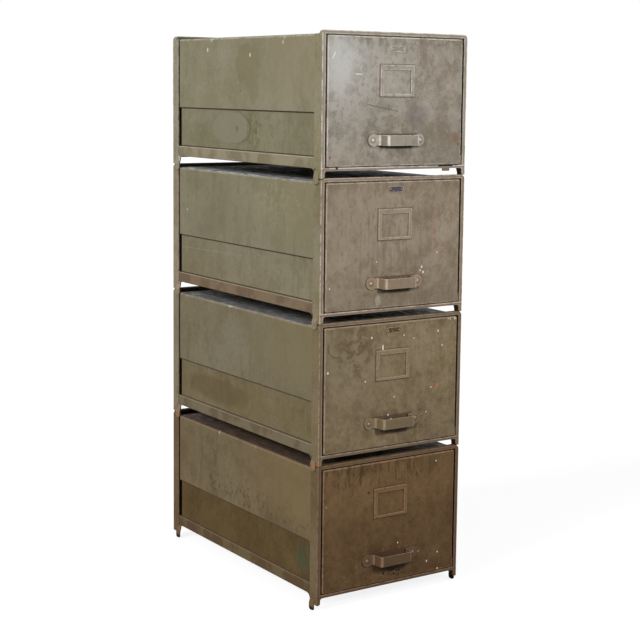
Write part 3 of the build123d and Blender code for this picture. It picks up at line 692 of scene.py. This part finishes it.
for number, height in BADGE_HEIGHT.items():
    badge_paint = Surface(f"badge_enamel_{number}", leg_bottom(number))
    badge_paint.enamel(FRONT_TONE[number], FRONT_DARK[number], FRONT_PALE[number], number + 280)
    out = FACE - badge_paint.y
    wear_and_highlight = badge_paint.cloud(5, number + 285, detail=5).ease(0.36, 0.6)
    badge_paint.tint(BADGE_FIELD[number], out.ease(0.85, 0.5))
    badge_paint.tint(BADGE_RIM_TONE[number], out.ease(0.7, 1.0) * wear_and_highlight)
    badge_paint.tint(CHIP, badge_paint.cloud(3, number + 290, detail=4).ease(0.6, 0.66) * 0.5)
    badge_paint.tint(LINE, out.ease(0.5, 0.1) * 0.8)
    place = (BADGE_ACROSS, FACE, height + leg_bottom(number))
    pieces = [mound(f"badge_plate_{number}", place, BADGE_HALF, BADGE_POWER, BADGE_RIM)]
    for side, way in (("left", -1), ("right", 1)):
        place = (BADGE_ACROSS + way * PIN_REACH, FACE - PIN_SUNK, height + leg_bottom(number))
        pieces.append(mound(f"badge_pin_{number}_{side}", place, PIN_HALF, 2, PIN_DOME, PIN_STEPS))
    finished = badge_paint.finish()
    for piece in pieces:
        piece.data.materials.append(finished)
        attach(piece, f"drawer_{number}")


CATCH_ACROSS = 141
CATCH_HEIGHT = 13
CATCH_HALF = (10, 3.2)
CATCH_POWER = 8
CATCH_RIM = ((0, -1.4), (0, 0.6), (0.2, 0.9), (0.5, 1.0))

place = (CATCH_ACROSS, FRONT, CATCH_HEIGHT + leg_bottom(1))
catch = mound("catch_plate", place, CATCH_HALF, CATCH_POWER, CATCH_RIM)
catch_paint = Surface("catch_enamel", leg_bottom(1))
catch_paint.enamel(FRONT_DARK[2], LINE, HOOP_FACE[2], 299)
catch.data.materials.append(catch_paint.finish())
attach(catch, "section_1")


# ---- Studio ------------------------------------------------------------------------------------
# A pale floor, a round softbox before the upper drawers, a soft lamp from the left and an even
# white surround, seen by the photograph's camera.
def plane_mesh(name, half):
    """Flat square about the origin at height zero."""
    corners = np.array([(-1, -1, 0), (1, -1, 0), (1, 1, 0), (-1, 1, 0)], float) * half
    mesh = bpy.data.meshes.new(name)
    mesh.from_pydata(corners.tolist(), [], [(0, 1, 2, 3)])
    return mesh


FLOOR_HALF = 60
BOUNCE_GREY = (0.2, 0.2, 0.2, 1)
PAPER_GREY = (0.8, 0.8, 0.8, 1)
PAPER_GLOW = 1.22
GLOW_SHARE = 0.7
WHITE = (1, 1, 1, 1)

floor = bpy.data.objects.new("floor", plane_mesh("floor", FLOOR_HALF))
bpy.context.scene.collection.objects.link(floor)
cloth = Surface("floor_paper", 0)
ray = cloth.place.node("LightPath", {}, "Is Camera Ray")
dim = cloth.place.node("BsdfDiffuse", {"Color": BOUNCE_GREY})
paper = cloth.place.node("BsdfDiffuse", {"Color": PAPER_GREY})
bright = cloth.place.node("Emission", {"Color": WHITE, "Strength": PAPER_GLOW})
seen = cloth.place.node("MixShader", {0: GLOW_SHARE, 1: paper, 2: bright})
mixed = cloth.place.node("MixShader", {0: ray, 1: dim, 2: seen})
mixed.tree.links.new(mixed.socket, cloth.output.inputs["Surface"])
floor.data.materials.append(cloth.material)

# The surround lights the object with SKY_LIGHT and shows the camera full white.
SKY_LIGHT = 0.4

world = bpy.data.worlds.new("surround")
world.use_nodes = True
bpy.context.scene.world = world
background = world.node_tree.nodes["Background"]
background.inputs["Color"].default_value = WHITE
ray = Term(world.node_tree, None).node("LightPath", {}, "Is Camera Ray")
strength = ray * (1 - SKY_LIGHT) + SKY_LIGHT
world.node_tree.links.new(strength.socket, background.inputs["Strength"])


def hang(light, tilt, turn, place=(0, 0, 0)):
    """Hang a lamp: tilt from straight down, turn about the vertical, both in degrees."""
    hung = bpy.data.objects.new(light.name, light)
    hung.location = place
    hung.rotation_euler = (radians(tilt), 0, radians(turn))
    bpy.context.scene.collection.objects.link(hung)


fill = bpy.data.lights.new("fill_lamp", "SUN")
fill.energy = 2.55
fill.angle = radians(30)
hang(fill, tilt=60, turn=-84)

key = bpy.data.lights.new("key_lamp", "AREA")
key.shape = "DISK"
key.size = 0.28
key.energy = 21
hang(key, tilt=70, turn=0, place=(0.05, -2.05, 1.42))


def turned(yaw, pitch, roll):
    """Rows right, forward and up of a camera turned by yaw, then tilted, then rolled."""
    c, s = np.cos(radians(yaw)), np.sin(radians(yaw))
    by_yaw = np.array([[c, s, 0], [-s, c, 0], [0, 0, 1]])
    c, s = np.cos(radians(pitch)), np.sin(radians(pitch))
    by_pitch = np.array([[1, 0, 0], [0, c, -s], [0, s, c]])
    c, s = np.cos(radians(roll)), np.sin(radians(roll))
    by_roll = np.array([[c, 0, s], [0, 1, 0], [-s, 0, c]])
    return by_roll @ by_pitch @ by_yaw


CAMERA_PLACE = (-1.9273, -2.9443, 1.1506)

right, forward, up = turned(yaw=-34.409, pitch=6.761, roll=0.713)
camera = bpy.data.objects.new("camera", bpy.data.cameras.new("camera"))
camera.data.sensor_width = 36
camera.data.lens = 82.85
camera.data.shift_x = -0.0394
camera.data.shift_y = -0.0894
camera.data.clip_end = 200
pose = np.eye(4)
pose[:3, 0], pose[:3, 1], pose[:3, 2] = right, up, -forward
pose[:3, 3] = CAMERA_PLACE
camera.matrix_world = Matrix(pose.tolist())
bpy.context.scene.collection.objects.link(camera)
bpy.context.scene.camera = camera
bpy.context.scene.view_settings.view_transform = "Standard"
